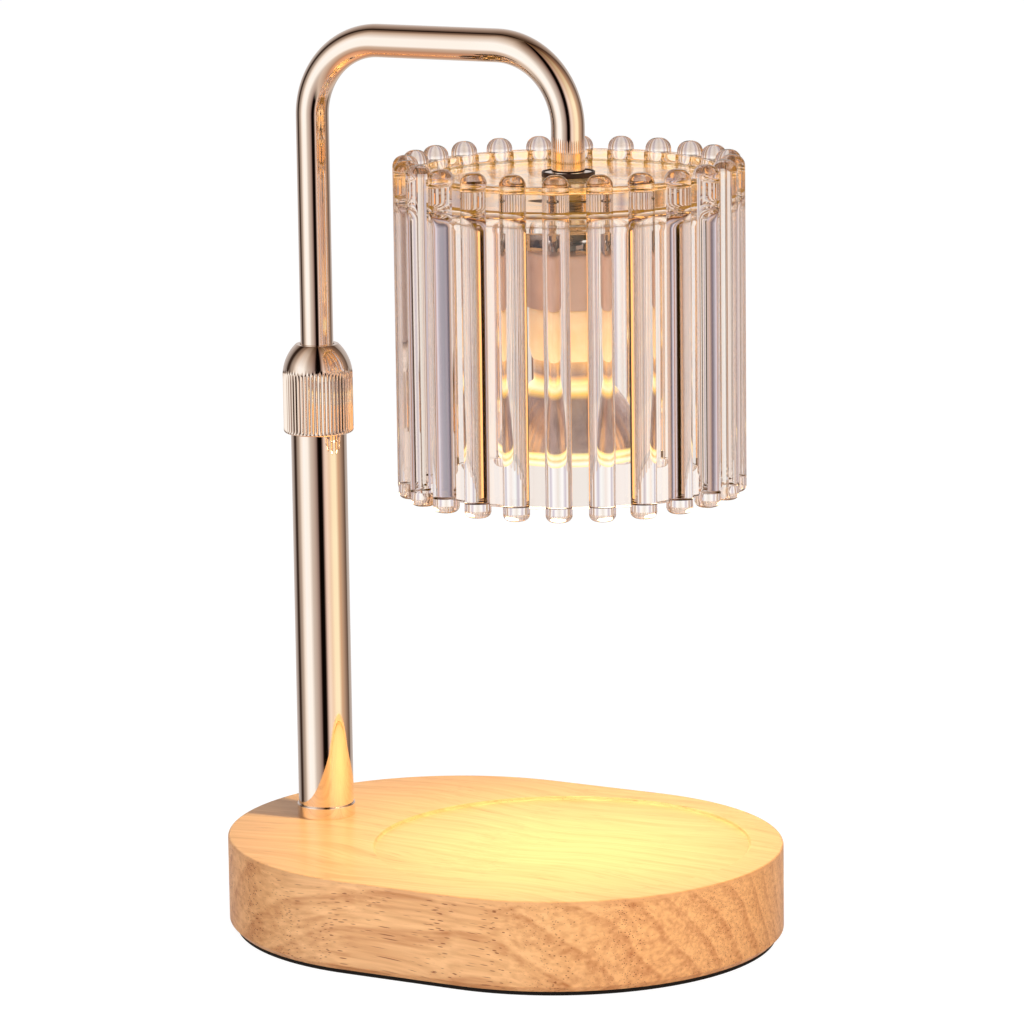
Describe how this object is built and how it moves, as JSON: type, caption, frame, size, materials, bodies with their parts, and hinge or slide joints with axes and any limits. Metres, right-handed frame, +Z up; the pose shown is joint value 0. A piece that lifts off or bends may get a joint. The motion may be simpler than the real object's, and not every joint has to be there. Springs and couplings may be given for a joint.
{
  "type": "candle warmer lamp",
  "caption": "Table lamp that melts a candle from above: wooden base with a candle recess, plated column, height-sliding swivel gooseneck and a ribbed glass shade over a reflector lamp.",
  "frame": {"origin": "on the surface that the lamp stands on, under the middle of the base", "axes": "+Z up; +X from the column towards the candle recess; +Y to the rear"},
  "size_m": [0.2, 0.156, 0.3162],
  "materials": {
    "rubberwood": "clear satin lacquer over rubberwood, grain and pores showing",
    "pad_foam": "matt black foam sheet",
    "black_plastic": "moulded black plastic",
    "natural_nylon": "moulded natural nylon",
    "zinc_steel": "bright zinc-plated steel",
    "rose_gold_plate": "polished champagne-rose plating",
    "turned_brass": "turned brass",
    "lead_sheath": "white heat-resistant sheath",
    "shade_glass": "clear pressed soda-lime glass with a faint warm tint",
    "silicone": "translucent silicone",
    "copper_cover": "satin copper-coloured metal",
    "glazed_ceramic": "glazed steatite ceramic",
    "bulb_ceramic": "white ceramic, warm where the lamp lights it",
    "reflector_glass": "facetted glass with a metal film",
    "front_glass": "clear lamp glass",
    "tungsten": "glowing tungsten coil"
  },
  "bodies": {
    "base": {"wooden_base": "rubberwood", "base_pad": "pad_foam", "cord_grommet": "black_plastic", "splice_block": "natural_nylon", "splice_screws": "zinc_steel", "column_tube": "rose_gold_plate", "column_foot_ring": "rose_gold_plate", "column_foot_plug": "zinc_steel", "column_stud": "zinc_steel", "column_washer": "zinc_steel", "column_nut": "zinc_steel", "column_guide_bush": "turned_brass", "base_lead": "lead_sheath", "slack_lead": "lead_sheath"},
    "collet": {"clamp_collet": "natural_nylon"},
    "collar": {"locking_collar": "rose_gold_plate"},
    "slider": {"arm_stop_bush": "natural_nylon"},
    "arm": {"arm_tube": "rose_gold_plate", "arm_retaining_rings": "zinc_steel", "arm_lead": "lead_sheath", "glass_shade": "shade_glass", "shade_nipple": "zinc_steel", "shade_flange": "rose_gold_plate", "shade_top_gasket": "silicone", "shade_low_gasket": "silicone", "shade_washer": "zinc_steel", "shade_nut": "zinc_steel", "bracket_nuts": "zinc_steel", "holder_bracket": "zinc_steel", "holder_screws": "zinc_steel", "lamp_holder_cover": "copper_cover", "lamp_holder_body": "glazed_ceramic", "holder_contacts": "turned_brass"},
    "bulb": {"bulb_cap": "bulb_ceramic", "bulb_pins": "zinc_steel", "bulb_reflector": "reflector_glass", "bulb_front_glass": "front_glass", "bulb_capsule": "front_glass", "bulb_filament": "tungsten"}
  },
  "joints": [
    {"name": "arm_height", "type": "slide", "parent": "base", "child": "slider", "axis": [0, 0, 1], "range_m": [-0.07, 0.03], "deforming": ["slack_lead"]},
    {"name": "arm_swivel", "type": "hinge", "parent": "slider", "child": "arm", "pos_m": [-0.0722, 0, 0.2], "axis": [0, 0, 1], "range_deg": [-90, 90]},
    {"name": "collar_lift", "type": "slide", "parent": "base", "child": "collet", "axis": [0, 0, 1], "range_m": [0, 0.00075]},
    {"name": "collar_turn", "type": "hinge", "parent": "collet", "child": "collar", "pos_m": [-0.0722, 0, 0.19], "axis": [0, 0, 1], "range_deg": [0, 180]},
    {"name": "bulb_twist", "type": "hinge", "parent": "arm", "child": "bulb", "pos_m": [0.0283, 0, 0.2], "axis": [0, 0, -1], "range_deg": [0, 25]}
  ],
  "couplings": [
    {"joint": "collar_turn", "follows": "collar_lift", "rad_per_m": 4188.8}
  ]
}
